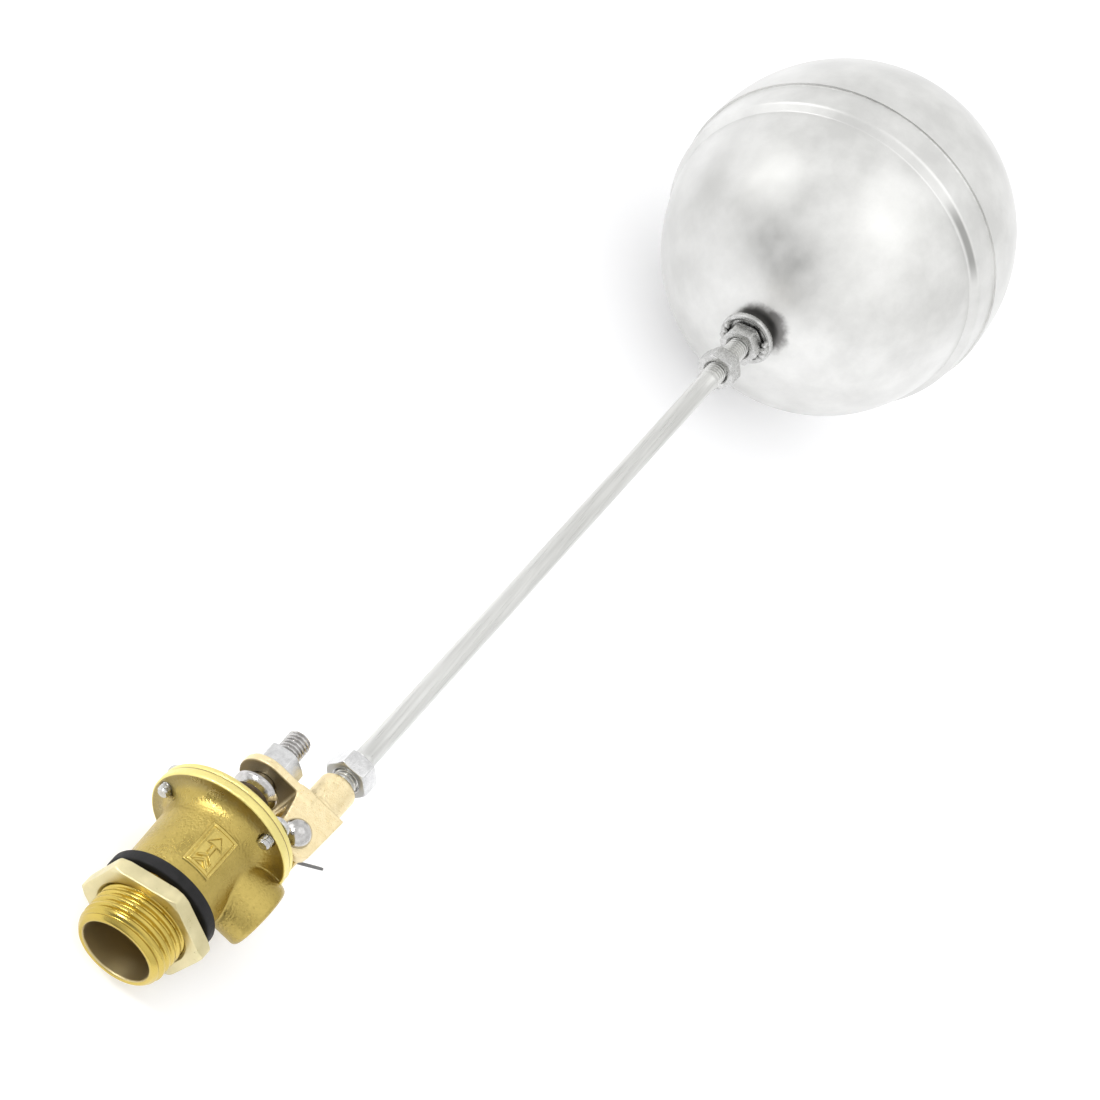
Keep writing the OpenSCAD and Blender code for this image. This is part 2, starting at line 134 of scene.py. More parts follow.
# ---------------------------------------------------------------- shapes
def rounded(corners, radius=0.2, steps=4, closed=False):
    """Softens the corners of an outline with short curves. A corner is (x, r) or (x, r, own radius)."""
    first, last = (corners[-1:], corners[:1]) if closed else ([], [])
    chain = first + list(corners) + last
    out = [] if closed else [chain[0][:2]]
    for before, corner, after in zip(chain, chain[1:], chain[2:]):
        at = np.array(corner[:2], float)
        own = corner[2] if len(corner) > 2 else radius
        back = np.array(before[:2], float) - at
        ahead = np.array(after[:2], float) - at
        back_length, ahead_length = np.linalg.norm(back), np.linalg.norm(ahead)
        reach = min(own, 0.45 * back_length, 0.45 * ahead_length)
        start = at + back / back_length * reach
        end = at + ahead / ahead_length * reach
        for t in np.linspace(0, 1, steps):
            out.append(tuple((1 - t) ** 2 * start + 2 * t * (1 - t) * at + t * t * end))
    if not closed:
        out.append(chain[-1][:2])
    return out


def spin(profile, steps=96, closed=True):
    """Turns (x, radius) points round the X axis. They may come from a function of the angle."""
    angles = np.linspace(0, TAU, steps, endpoint=False)
    rows = np.array([profile(a) if callable(profile) else profile for a in angles], float)
    count = rows.shape[1]
    cosine, sine = np.cos(angles)[:, None], np.sin(angles)[:, None]
    points = np.stack([rows[:, :, 0], rows[:, :, 1] * cosine, rows[:, :, 1] * sine], 2).reshape(-1, 3)
    ring = np.arange(steps)[:, None] * count
    ahead = (np.arange(steps)[:, None] + 1) % steps * count
    here = np.arange(count if closed else count - 1)[None, :]
    there = (here + 1) % count
    faces = np.stack([ring + here, ring + there, ahead + there, ahead + here], 2).reshape(-1, 4)
    return points, faces.tolist()


def arc(centre, radius, start, end, count):
    """Outline points on a circle whose centre is on the axis, from one angle to another."""
    return [(centre + radius * math.cos(a), radius * math.sin(a)) for a in np.linspace(start, end, count)]


def merged(*shapes):
    """Puts several shapes in one, so that they become one piece."""
    points, faces, start = [], [], 0
    for some_points, some_faces in shapes:
        points.append(some_points)
        faces += [[i + start for i in face] for face in some_faces]
        start += len(some_points)
    return np.concatenate(points), faces


def moved(shape, matrix):
    """Moves a shape by a 4 x 4 matrix in millimetres."""
    m = np.array(matrix)
    return shape[0] @ m[:3, :3].T + m[:3, 3], shape[1]


def thread(x, angle, crest, pitch, depth, start, end, fade):
    """Radius of a right-hand thread with rounded crests and roots, which fades out at both ends."""
    flat, slope = 0.24, 0.72
    phase = (x / pitch - angle / TAU) % 1
    flank = np.clip((1 - np.abs(2 * phase - 1) - flat) / slope, 0, 1)
    groove = 0.5 - 0.5 * np.cos(math.pi * flank)
    near_end = np.clip(np.minimum(x - start, end - x) / fade, 0, 1)
    return crest - depth * groove * near_end


def hexagon_radius(angle, flats, turn, softness=90):
    """Distance from the axis to the side of a hexagon with slightly rounded corners."""
    sides = np.radians(turn + 60 * np.arange(6))
    spread = np.maximum(np.cos(angle - sides), 0) ** softness
    return flats / 2 / spread.sum() ** (1 / softness)


def hex_nut(x0, height, flats, bore_r, turn, face=1.0, slope=0.5, edge=0.15):
    """A hexagon nut along X: cones on its ends cut the corners down to the radius of the face."""
    def profile(angle):
        side = hexagon_radius(angle, flats, turn)
        face_r = min(face * flats / 2, side - 0.2)
        drop = slope * (side - face_r)
        x1 = x0 + height
        return rounded([
            (x0 + 0.6, bore_r), (x0, bore_r + 0.6), (x0, face_r), (x0 + drop, side),
            (x1 - drop, side), (x1, face_r), (x1, bore_r + 0.6), (x1 - 0.6, bore_r),
        ], edge, 4, closed=True)

    return spin(profile, 192)


def tube(path, radius, sides=16):
    """A round wire along a path, with domed ends."""
    path = np.array(path, float)
    along = np.gradient(path, axis=0)
    along /= np.linalg.norm(along, axis=1)[:, None]
    side = np.cross(along[0], UNIT[np.argmin(np.abs(along[0]))])
    rings = []
    angles = np.linspace(0, TAU, sides, endpoint=False)
    start_cap = [(-1, share) for share in (0.02, 0.5, 0.85)]
    end_cap = [(1, share) for share in (0.85, 0.5, 0.02)]
    caps = start_cap + [(0, 1)] * (len(path) - 2) + end_cap
    stations = [0] * 3 + list(range(1, len(path) - 1)) + [len(path) - 1] * 3
    for at, (end, share) in zip(stations, caps):
        side = side - along[at] * (side @ along[at])
        side /= np.linalg.norm(side)
        other = np.cross(along[at], side)
        centre = path[at] + along[at] * end * radius * math.sqrt(1 - share * share) * 0.6
        ring = np.cos(angles)[:, None] * side + np.sin(angles)[:, None] * other
        rings.append(centre + ring * radius * share)
    points = np.concatenate(rings)
    faces = []
    for row in range(len(rings) - 1):
        here, ahead = row * sides, (row + 1) * sides
        for k in range(sides):
            beside = (k + 1) % sides
            faces.append([here + k, here + beside, ahead + beside, ahead + k])
    faces.append(list(range(sides)))
    faces.append([len(points) - 1 - k for k in range(sides)])
    return points, faces


def settle(field, points, step):
    """Pulls points onto the surface where the field is zero, never further than about a cell."""
    start, h = points, 0.05 * step
    for _ in range(4):
        value = field(*points.T)
        rise = [field(*(points + h * e).T) - field(*(points - h * e).T) for e in UNIT]
        slope = np.stack(rise, 1) / (2 * h)
        steepness = np.maximum((slope ** 2).sum(1), 0.1)
        points = points - value[:, None] * slope / steepness[:, None]
        points = start + np.clip(points - start, -0.8 * step, 0.8 * step)
    return points


def skin(field, low, high, step):
    """Meshes the surface where field(x, y, z) is zero, with one point in each cell that it crosses."""
    axes = [np.arange(a, b + step, step) for a, b in zip(low, high)]
    inside = np.broadcast_to(
        field(*np.meshgrid(*axes, indexing="ij", sparse=True)) < 0, [len(a) for a in axes])
    size = [n - 1 for n in inside.shape]
    corners = np.zeros(size, np.int8)
    for i, j, k in itertools.product((0, 1), repeat=3):
        corners += inside[i:i + size[0], j:j + size[1], k:k + size[2]]
    crossed = (corners > 0) & (corners < 8)
    number = np.full(size, -1)
    number[crossed] = np.arange(crossed.sum())
    cells = np.argwhere(crossed)
    points = np.stack([axes[i][cells[:, i]] + step / 2 for i in range(3)], 1)
    faces = []
    for axis in range(3):
        order = (axis, (axis + 1) % 3, (axis + 2) % 3)
        solid, ids = inside.transpose(order), number.transpose(order)
        i, j, k = np.nonzero(solid[:-1, 1:-1, 1:-1] != solid[1:, 1:-1, 1:-1])
        quad = np.stack([ids[i, j, k], ids[i, j + 1, k], ids[i, j + 1, k + 1], ids[i, j, k + 1]], 1)
        outwards = solid[i, j + 1, k + 1]
        quad[~outwards] = quad[~outwards][:, ::-1]
        faces.append(quad)
    return settle(field, points, step), np.concatenate(faces).tolist()


# ---------------------------------------------------------------- distance fields
def union(a, b, soft=0.0):
    """Joins two fields, with a fillet of about the size soft."""
    if not soft:
        return np.minimum(a, b)
    blend = np.maximum(soft - np.abs(a - b), 0) / soft
    return np.minimum(a, b) - blend * blend * soft / 4


def overlap(a, b, soft=0.0):
    return -union(-a, -b, soft)


def without(a, b, soft=0.0):
    return overlap(a, -b, soft)


def between(value, low, high):
    return np.maximum(low - value, value - high)


def outline(u, v, corners):
    """Signed distance to a closed polygon in the (u, v) plane."""
    nearest = np.inf
    inside = np.zeros(np.broadcast(u, v).shape, bool)
    for (ax, ay), (bx, by) in zip(corners, corners[1:] + corners[:1]):
        ex, ey = bx - ax, by - ay
        wx, wy = u - ax, v - ay
        t = np.clip((wx * ex + wy * ey) / (ex * ex + ey * ey), 0, 1)
        nearest = np.minimum(nearest, (wx - ex * t) ** 2 + (wy - ey * t) ** 2)
        if ay != by:
            inside = inside ^ (((v >= ay) != (v >= by)) & (u < ax + ex * (v - ay) / ey))
    return np.where(inside, -1, 1) * np.sqrt(nearest)


def screw_holes(x, y, z):
    """Distance to the three round holes for the cover screws."""
    radius = SCREW_R + HOLE_GAP
    holes = [np.hypot(y - SCREW_RING * math.cos(a), z - SCREW_RING * math.sin(a)) - radius
             for a in (0, TAU / 3, 2 * TAU / 3)]
    return np.minimum(np.minimum(holes[0], holes[1]), holes[2]) + 0 * x


def body_field(x, y, z):
    """Body casting from behind the inlet thread to the flange, with its waterways."""
    r = np.hypot(y, z)
    flare = NECK_FLARE * (x - NECK_X) / (FLANGE_X - NECK_X)
    neck = overlap(r - NECK_R - flare, between(x, INLET_DEPTH, FLANGE_X + 1), 0.5)
    flange = overlap(r - FLANGE_R, between(x, FLANGE_X, FLANGE_BACK), 0.45)
    boss_r = np.hypot(x - BOSS_X, z)
    boss = overlap(boss_r - BOSS_R, between(y, -BOSS_REACH, -4), 0.3)
    boss = overlap(boss, (boss_r - BOSS_R - y - BOSS_REACH + 0.7) * COS_45, 0.4)
    casting = union(union(neck, flange, 4.6), boss, 0.45)
    # Raised rib where the boss meets the flange
    rib = np.hypot(x - 35.4, z - 3.9 - 0.15 * (y + 13)) - 0.75
    rib = overlap(rib, between(y, -17.2, -8.6), 0.6)
    casting = union(casting, rib, 0.8)
    seat_bore = overlap(r - SEAT_R, x - SEAT_X - 1)
    ring = overlap(between(r, SEAT_TUBE_R, CHAMBER_R), CHAMBER_X - x, 1.2)
    behind = overlap(r - CHAMBER_R, SEAT_X - x)
    lip = overlap(between(r, SEAT_LIP_R, CHAMBER_R), SEAT_X - 1 - x)
    outlet = overlap(boss_r - OUTLET_R, y + SEAT_TUBE_R + 0.6)
    hollow = union(union(union(seat_bore, ring), union(behind, lip)), outlet, 0.4)
    return without(without(casting, hollow, 0.5), screw_holes(x, y, z), 0.4)


def cover_field(x, y, z):
    """Cover plate with its dome, skirt and lever lug."""
    r = np.hypot(y, z)
    plate = overlap(r - COVER_R, between(x, COVER_X, COVER_BACK), 0.4)
    dome = overlap(r - DOME_R, between(x, COVER_X, DOME_X), 1.6)
    skirt = overlap(r - SKIRT_R, between(x, SKIRT_X, COVER_X + 0.5), 0.3)
    px, py = PIVOT[0], PIVOT[1]
    stem = outline(x, y, [
        (COVER_X + 0.5, py - LUG_ROOT), (COVER_BACK + 1, py - LUG_ROOT), (px - 1, py - LUG_R + 0.15),
        (px, py), (px - 1, py + LUG_R - 0.15), (COVER_BACK + 1, py + LUG_ROOT),
        (COVER_X + 0.5, py + LUG_ROOT),
    ])
    eye = np.hypot(x - px, y - py) - LUG_R
    lug = overlap(union(stem, eye, 0.3), np.abs(z) - LUG_W / 2, 0.5)
    solid = union(union(union(plate, dome, 0.8), skirt), lug, 0.8)
    cylinder = overlap(r - CYLINDER_R, x - ROOF_X)
    pin_hole = np.hypot(x - px, y - py) - PIN_R - HOLE_GAP
    holes = union(union(cylinder, r - NOZZLE_R - 0.02), union(pin_hole, screw_holes(x, y, z)))
    return without(solid, holes, 0.3)


CHEEK = [
    (-EYE_R, 0), (-EYE_R, -2.5), (-3.4, -4.5), (-2.4, -5.3), (10.4, -6.3), (10.4, 3.6),
    (ARM_X + ARM_H, 5.8), (ARM_X, 5.6), (1, 4.3),
]


def lever_field(x, y, z):
    """Forked lever: two cheeks, the arm with its round lobe, and the socket for the rod."""
    u, v = x - PIVOT[0], y - PIVOT[1]
    cheeks = union(outline(u, v, CHEEK), np.hypot(u, v) - EYE_R, 0.4)
    block = overlap(cheeks, np.abs(z) - LEVER_W / 2, 0.5)
    lobe = union(np.hypot(y, z) - LEVER_W / 2, overlap(between(y, -10, 0), np.abs(z) - LEVER_W / 2))
    arm = overlap(lobe, between(u, ARM_X, ARM_X + ARM_H), 0.5)
    tilt = math.radians(ROD_DROOP)
    along = u * math.cos(tilt) - v * math.sin(tilt)
    across = u * math.sin(tilt) + v * math.cos(tilt) - ROD_OFFSET
    rod_r = np.hypot(across, z)
    socket = overlap(rod_r - SOCKET_R, between(along, SOCKET_START, SOCKET_END), 0.3)
    socket = overlap(socket, (rod_r + along - SOCKET_R - SOCKET_END + 1) * COS_45, 0.3)
    ring_step = overlap(rod_r - SOCKET_R - 0.12, between(along, SOCKET_START, 12.2), 0.2)
    casting = union(union(block, arm, 0.8), union(socket, ring_step), 0.6)
    slot = overlap(np.abs(z) - SLOT_W / 2, u - SLOT_END, 0.8)
    pin_hole = np.hypot(u, v) - PIN_R - HOLE_GAP
    bolt_hole = overlap(np.hypot(y, z) - M6_HOLE_R, 2 - u)
    rod_hole = overlap(rod_r - M6_HOLE_R, ROD_START - 0.4 - along)
    return without(without(casting, slot, 0.3), union(pin_hole, union(bolt_hole, rod_hole)), 0.35)


# ---------------------------------------------------------------- materials
def node_adder(tree):
    """A short way to add a node to a tree, set its inputs or properties, and wire it."""
    def add(kind, links=None, **values):
        node = tree.nodes.new(kind)
        for key, value in values.items():
            if key in node.inputs:
                node.inputs[key].default_value = value
            else:
                setattr(node, key, value)
        for key, source in (links or {}).items():
            tree.links.new(source, node.inputs[key])
        return node

    return add


def short_names(material):
    """Node tree and shader of a material, and its node adder."""
    tree = material.node_tree
    return tree, tree.nodes["Principled BSDF"], node_adder(tree)


def new_material(name):
    material = bpy.data.materials.new(name)
    material.use_nodes = True
    return material


def noise(add, coordinates, size_mm, detail=4.0, roughness=0.55):
    """Noise whose blotches are about size_mm across."""
    return add("ShaderNodeTexNoise", {"Vector": coordinates}, Scale=1 / (size_mm * MM),
               Detail=detail, Roughness=roughness).outputs["Fac"]


def stretched(add, coordinates, factors):
    """Object coordinates scaled along each axis, for streaks."""
    return add("ShaderNodeMapping", {"Vector": coordinates}, Scale=factors).outputs["Vector"]


def ramp(add, source, low, high, first, second):
    """Blends two colours or values as the source goes from low to high."""
    node = add("ShaderNodeValToRGB", {"Fac": source})
    for element, position, colour in zip(node.color_ramp.elements, (low, high), (first, second)):
        element.position = position
        element.color = (*colour, 1) if len(colour) == 3 else colour
    return node.outputs["Color"]


def grey(value):
    return value, value, value


def metal(name, light, dark, roughness, blotch_mm, grain_mm, grain_depth, streaks=None, metallic=1.0,
          streak_depth=0.0, rough_spread=0.12, specular=0.5):
    """A metal or rubber with blotchy colour, uneven gloss, grain, and streaks along one direction."""
    material = new_material(name)
    tree, shader, add = short_names(material)
    place = add("ShaderNodeTexCoord").outputs["Object"]
    along = stretched(add, place, streaks) if streaks else place
    blotches = noise(add, along, blotch_mm, 5.0, 0.6)
    tree.links.new(ramp(add, blotches, 0.35, 0.66, dark, light), shader.inputs["Base Color"])
    gloss_source = noise(add, along, 0.5 * blotch_mm, 6.0, 0.65)
    glossy, dull = max(roughness - rough_spread, 0.02), roughness + rough_spread
    gloss = ramp(add, gloss_source, 0.3, 0.7, grey(glossy), grey(dull))
    tree.links.new(gloss, shader.inputs["Roughness"])
    grain = noise(add, place, grain_mm, 3.0, 0.6)
    bump = add("ShaderNodeBump", {"Height": grain}, Strength=1.0, Distance=grain_depth * MM)
    if streaks:
        lines = noise(add, along, grain_mm, 2.0, 0.5)
        bump = add("ShaderNodeBump", {"Height": lines, "Normal": bump.outputs["Normal"]},
                   Strength=1.0, Distance=streak_depth * MM)
    tree.links.new(bump.outputs["Normal"], shader.inputs["Normal"])
    shader.inputs["Metallic"].default_value = metallic
    shader.inputs["Specular IOR Level"].default_value = specular
    return material


def mask(add, source, start, end):
    """1 on the side of start, 0 on the side of end, with a soft step between them (millimetres)."""
    node = add("ShaderNodeMapRange", {"Value": source}, interpolation_type="SMOOTHSTEP")
    node.inputs["From Min"].default_value = start * MM
    node.inputs["From Max"].default_value = end * MM
    node.inputs["To Min"].default_value = 1.0
    node.inputs["To Max"].default_value = 0.0
    return node.outputs["Result"]


def product(add, first, second):
    return add("ShaderNodeMath", {0: first, 1: second}, operation="MULTIPLY").outputs[0]


def distance_to(add, place, point):
    """Distance from the surface to a point given in millimetres."""
    offset = add("ShaderNodeVectorMath", {0: place}, operation="SUBTRACT")
    offset.inputs[1].default_value = Vector(point) * MM
    return add("ShaderNodeVectorMath", {0: offset.outputs["Vector"]}, operation="LENGTH").outputs["Value"]


def distance_from_axis(add, place):
    """Distance from the surface to the X axis."""
    flat = add("ShaderNodeVectorMath", {0: place}, operation="MULTIPLY")
    flat.inputs[1].default_value = (0, 1, 1)
    return add("ShaderNodeVectorMath", {0: flat.outputs["Vector"]}, operation="LENGTH").outputs["Value"]


def paint(tree, add, shader, socket, amount, value):
    """Blends a colour or grey level over whatever feeds a shader socket, where the mask is 1."""
    mix = add("ShaderNodeMix", {"Factor": amount}, data_type="RGBA")
    mix.inputs["B"].default_value = (*value, 1)
    tree.links.new(shader.inputs[socket].links[0].from_socket, mix.inputs["A"])
    tree.links.new(mix.outputs["Result"], shader.inputs[socket])


def finish_and_shade_casting(material):
    """Sand-cast pits, painted shade on the front face of the flange, and bright turned rims on flange and
    cover.
    """
    tree, shader, add = short_names(material)
    place = add("ShaderNodeTexCoord").outputs["Object"]
    pits = ramp(add, noise(add, place, 0.7, 3.0, 0.7), 0.52, 0.72, grey(0.0), grey(0.55))
    paint(tree, add, shader, "Base Color", pits, (0.33, 0.25, 0.07))
    x = add("ShaderNodeSeparateXYZ", {"Vector": place}).outputs["X"]
    r = distance_from_axis(add, place)
    # Painted shade: the front face of the flange is coloured darker, as if it reflected the shaded floor
    # under the valve
    beyond_neck = mask(add, x, FLANGE_X - 0.2, FLANGE_X - 1.1)
    outer_part = mask(add, r, NECK_R + 3.6, NECK_R + 0.6)
    in_front = mask(add, x, FLANGE_X + 0.2, FLANGE_X + 0.5)
    flange_face_shade = product(add, product(add, beyond_neck, outer_part), in_front)
    paint(tree, add, shader, "Base Color", flange_face_shade, (0.37, 0.295, 0.115))
    on_edge = mask(add, r, COVER_R - 0.14, COVER_R - 0.3)
    rim = product(add, mask(add, x, FLANGE_X - 0.4, FLANGE_X - 0.7), on_edge)
    paint(tree, add, shader, "Base Color", rim, (0.82, 0.71, 0.27))
    paint(tree, add, shader, "Roughness", rim, grey(0.3))
    return material


def painted_arm_shade(material):
    """Painted shade on the inner face of the lever's arm, which looks towards the flange: darker colour
    and higher roughness.
    """
    tree, shader, add = short_names(material)
    place = add("ShaderNodeTexCoord").outputs["Object"]
    axis = add("ShaderNodeSeparateXYZ", {"Vector": place})
    face_x = PIVOT[0] + ARM_X
    # Painted shade on the arm's face towards the flange
    inner = product(add, mask(add, axis.outputs["X"], face_x + 0.15, face_x + 0.45),
                    mask(add, axis.outputs["Y"], -5.6, -6.6))
    paint(tree, add, shader, "Base Color", inner, (0.27, 0.215, 0.12))
    paint(tree, add, shader, "Roughness", inner, grey(0.5))
    return material


def dull_bore(material):
    """Plain, less polished bore inside the threaded inlet."""
    tree, shader, add = short_names(material)
    place = add("ShaderNodeTexCoord").outputs["Object"]
    r = distance_from_axis(add, place)
    bore = mask(add, r, INLET_R + 0.1, INLET_R + 0.35)
    paint(tree, add, shader, "Base Color", bore, (0.52, 0.43, 0.24))
    paint(tree, add, shader, "Roughness", bore, grey(0.42))
    return material


def grey_inlet_faces(material):
    """Faces that look towards the inlet, coloured greyer and rougher than the rest."""
    tree, shader, add = short_names(material)
    normal = add("ShaderNodeTexCoord").outputs["Normal"]
    facing = add("ShaderNodeVectorMath", {0: normal}, operation="DOT_PRODUCT")
    facing.inputs[1].default_value = (-1, 0, 0)
    step = add("ShaderNodeMapRange", {"Value": facing.outputs["Value"]}, interpolation_type="SMOOTHSTEP")
    step.inputs["From Min"].default_value = 0.80
    step.inputs["From Max"].default_value = 0.97
    ends = step.outputs["Result"]
    paint(tree, add, shader, "Base Color", ends, (0.43, 0.43, 0.42))
    paint(tree, add, shader, "Roughness", ends, grey(0.36))
    return material


def stain_and_paint_float_reflections(material):
    """Heat stain round the welded plate, grey patches beside it that are partly dirt and partly painted
    reflection, and a painted dark reflection along one side of the shoulder.
    """
    tree, shader, add = short_names(material)
    place = add("ShaderNodeTexCoord").outputs["Object"]
    wobble = add("ShaderNodeMath", {0: noise(add, place, 4.0)}, operation="MULTIPLY_ADD")
    wobble.inputs[1].default_value = 5 * MM
    stain_centre = rod_frame @ Vector((PLATE_X + 3, -1.0, 3.5))
    tree.links.new(distance_to(add, place, stain_centre), wobble.inputs[2])
    paint(tree, add, shader, "Base Color", mask(add, wobble.outputs[0], 8.5, 11.5), (0.22, 0.215, 0.21))
    # Grey patches, partly dirt and partly a painted reflection of the room's darker side
    reflection_haze_centre = rod_frame @ Vector((FLOAT_REACH - 37, 30, 12))
    patches = ramp(add, noise(add, place, 14.0), 0.25, 0.75, grey(0.3), grey(0.8))
    haze_and_painted_reflection = product(add, mask(add, distance_to(add, place, reflection_haze_centre), 4.0, 32.0), patches)
    paint(tree, add, shader, "Base Color", haze_and_painted_reflection, (0.46, 0.46, 0.445))
    # Painted reflection: a dark line along one side of the shoulder, where the concave step would reflect
    # a dark part of the room
    shoulder = FLOAT_REACH + SHOULDER_X + 1.0
    side = rod_frame @ Vector((shoulder, -22.7, 42.6))
    level = add("ShaderNodeVectorMath", {0: place}, operation="DOT_PRODUCT")
    along = (rod_frame.to_3x3() @ Vector((1, 0, 0))).normalized()
    level.inputs[1].default_value = along
    start = along.dot(rod_frame @ Vector((shoulder, 0, 0)))
    off_line = add("ShaderNodeMath", {0: level.outputs["Value"]}, operation="SUBTRACT")
    off_line.inputs[1].default_value = start * MM
    width = add("ShaderNodeMath", {0: off_line.outputs[0]}, operation="ABSOLUTE").outputs[0]
    beside = mask(add, distance_to(add, place, side), 5.0, 15.0)
    shoulder_painted_reflection = product(add, mask(add, width, 0.35, 0.9), beside)
    paint(tree, add, shader, "Base Color", shoulder_painted_reflection, (0.36, 0.36, 0.35))
    return material


rod_frame = (
    Matrix.Translation(Vector(PIVOT))
    @ Matrix.Rotation(math.radians(-ROD_DROOP), 4, "Z")
    @ Matrix.Translation(Vector((0, ROD_OFFSET, 0)))
)
along_z = Matrix.Translation(Vector(PIVOT)) @ Matrix.Rotation(math.radians(-90), 4, "Y")

# Each metal() has a light and a dark colour, a roughness, and then in millimetres the size of the
# blotches, the size of the grain and the depth of the grain
materials = {
    "cast_brass": finish_and_shade_casting(
        metal("cast_brass", (0.52, 0.40, 0.12), (0.41, 0.31, 0.085), 0.32, 9.0, 0.6, 0.17)),
    "inlet_brass": dull_bore(
        metal("inlet_brass", (0.60, 0.46, 0.115), (0.49, 0.37, 0.085), 0.23, 5.0, 0.4, 0.008,
              streaks=(1.0, 0.12, 0.12), streak_depth=0.006, rough_spread=0.05)),
    "panel_brass": metal("panel_brass", (0.62, 0.49, 0.15), (0.52, 0.40, 0.115), 0.34, 5.0, 0.5, 0.10),
    "bright_brass": metal("bright_brass", (0.84, 0.65, 0.20), (0.74, 0.55, 0.14), 0.22, 4.0, 0.25, 0.01),
    "pale_brass": metal("pale_brass", (0.74, 0.665, 0.41), (0.62, 0.555, 0.32), 0.36, 5.0, 0.3, 0.05),
    "lever_brass": painted_arm_shade(
        metal("lever_brass", (0.90, 0.77, 0.49), (0.81, 0.67, 0.39), 0.34, 1.6, 0.34, 0.14)),
    "black_rubber": metal("black_rubber", (0.020, 0.019, 0.020), (0.010, 0.010, 0.010), 0.6, 3.0,
                          0.3, 0.05, metallic=0.0, specular=0.2),
    "brown_rubber": metal("brown_rubber", (0.12, 0.09, 0.065), (0.07, 0.05, 0.038), 0.6, 2.0, 0.25, 0.04,
                          metallic=0.0),
    "gasket_fibre": metal("gasket_fibre", (0.36, 0.28, 0.11), (0.28, 0.21, 0.08), 0.7, 1.0, 0.2, 0.03,
                          metallic=0.0),
    "zinc_steel": grey_inlet_faces(
        metal("zinc_steel", (0.76, 0.76, 0.76), (0.62, 0.62, 0.62), 0.20, 1.6, 0.3, 0.02,
              rough_spread=0.06)),
    "screw_steel": metal("screw_steel", (0.66, 0.66, 0.65), (0.48, 0.48, 0.47), 0.28, 1.2, 0.3, 0.03),
    "wire_steel": metal("wire_steel", (0.22, 0.22, 0.22), (0.14, 0.14, 0.14), 0.4, 1.0, 0.15, 0.01),
    "polished_steel": metal("polished_steel", (0.62, 0.61, 0.60), (0.44, 0.43, 0.42), 0.16, 1.6,
                            0.3, 0.006, rough_spread=0.05),
    "drawn_steel": metal("drawn_steel", (0.74, 0.74, 0.72), (0.60, 0.60, 0.58), 0.34, 1.2, 0.3, 0.006,
                         streaks=(0.04, 1.0, 1.0), streak_depth=0.02),
    "float_steel": stain_and_paint_float_reflections(
        metal("float_steel", (0.79, 0.79, 0.775), (0.67, 0.67, 0.655), 0.38, 12.0, 1.6, 0.010,
              rough_spread=0.07)),
}
piece_materials = {
    "inlet_thread": "inlet_brass", "flow_panel": "panel_brass",
    "lever_casting": "lever_brass", "split_pin_wire": "wire_steel", "gasket_ring": "gasket_fibre",
}


# ---------------------------------------------------------------- pieces
def add_piece(name, node, shape, sharp_deg=38):
    """Makes a piece in the CAD frame that stands for a CAD node, on its body and in its material."""
    points, faces = shape
    mesh = bpy.data.meshes.new(name)
    mesh.from_pydata((points * MM).tolist(), [], faces)
    work = bmesh.new()
    work.from_mesh(mesh)
    bmesh.ops.remove_doubles(work, verts=work.verts, dist=0.002 * MM)
    bmesh.ops.dissolve_degenerate(work, dist=0.0005 * MM, edges=work.edges)
    bmesh.ops.recalc_face_normals(work, faces=work.faces)
    work.to_mesh(mesh)
    work.free()
    mesh.shade_smooth()
    mesh.set_sharp_from_angle(angle=math.radians(sharp_deg))
    mesh.materials.append(materials[piece_materials.get(name, slot_of[node])])
    piece = bpy.data.objects.new(name, mesh)
    bpy.context.scene.collection.objects.link(piece)
    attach(piece, frame["nodes"][node]["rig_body"])
    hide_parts(node)
    return piece


def inlet_tube():
    """Threaded inlet: a helical thread outside, a chamfered mouth and the smooth bore inside."""
    mouth, taper_end, taper, root = 0.9, 2.3, 0.6, INLET_DEPTH + 1.0
    xs = np.arange(root, mouth, -THREAD_PITCH / 14)
    inner = rounded([
        (mouth, THREAD_R - taper), (0.35, THREAD_R - 1.05), (0, THREAD_R - 1.4), (0, INLET_R + 0.4),
        (0.4, INLET_R), (INLET_DEPTH, INLET_R), (root, INLET_R),
    ], 0.3)

    def profile(angle):
        crest = THREAD_R - taper * np.clip((taper_end - xs) / (taper_end - mouth), 0, 1)
        outer = thread(xs, angle, crest, THREAD_PITCH, THREAD_DEPTH, mouth, 30, 1.0)
        return list(zip(xs, outer)) + inner

    return spin(profile, 224)


def panel_height(x, y):
    """Height of the flow panel over the neck: two rims, an arrow towards the flange and two chevrons."""
    base_h, rim_h, mark_h = 0.03, 0.38, 0.6
    outer = np.abs(overlap(np.abs(x) - 5.35, np.abs(y) - 3.25)) - 0.22
    inner = np.abs(overlap(np.abs(x) - 4.55, np.abs(y) - 2.45)) - 0.16
    shaft = overlap(np.abs(x + 0.1) - 1.2, np.abs(y) - 0.45)
    head = np.maximum(np.abs(y) * 0.8 + (x - 3.4) * 0.6, 1.0 - x)
    fold = x + np.abs(y) * 0.75
    chevrons = [overlap(np.abs(fold - at) - 0.32, np.abs(y) - 1.7) for at in (-1.5, -3.0)]
    mark = np.minimum.reduce([shaft, head, *chevrons])
    rims = rim_h * np.clip(0.5 - np.minimum(outer, inner) / 0.5, 0, 1)
    marks = mark_h * np.clip(0.5 - mark / 0.4, 0, 1)
    return np.maximum(rims, marks) + base_h


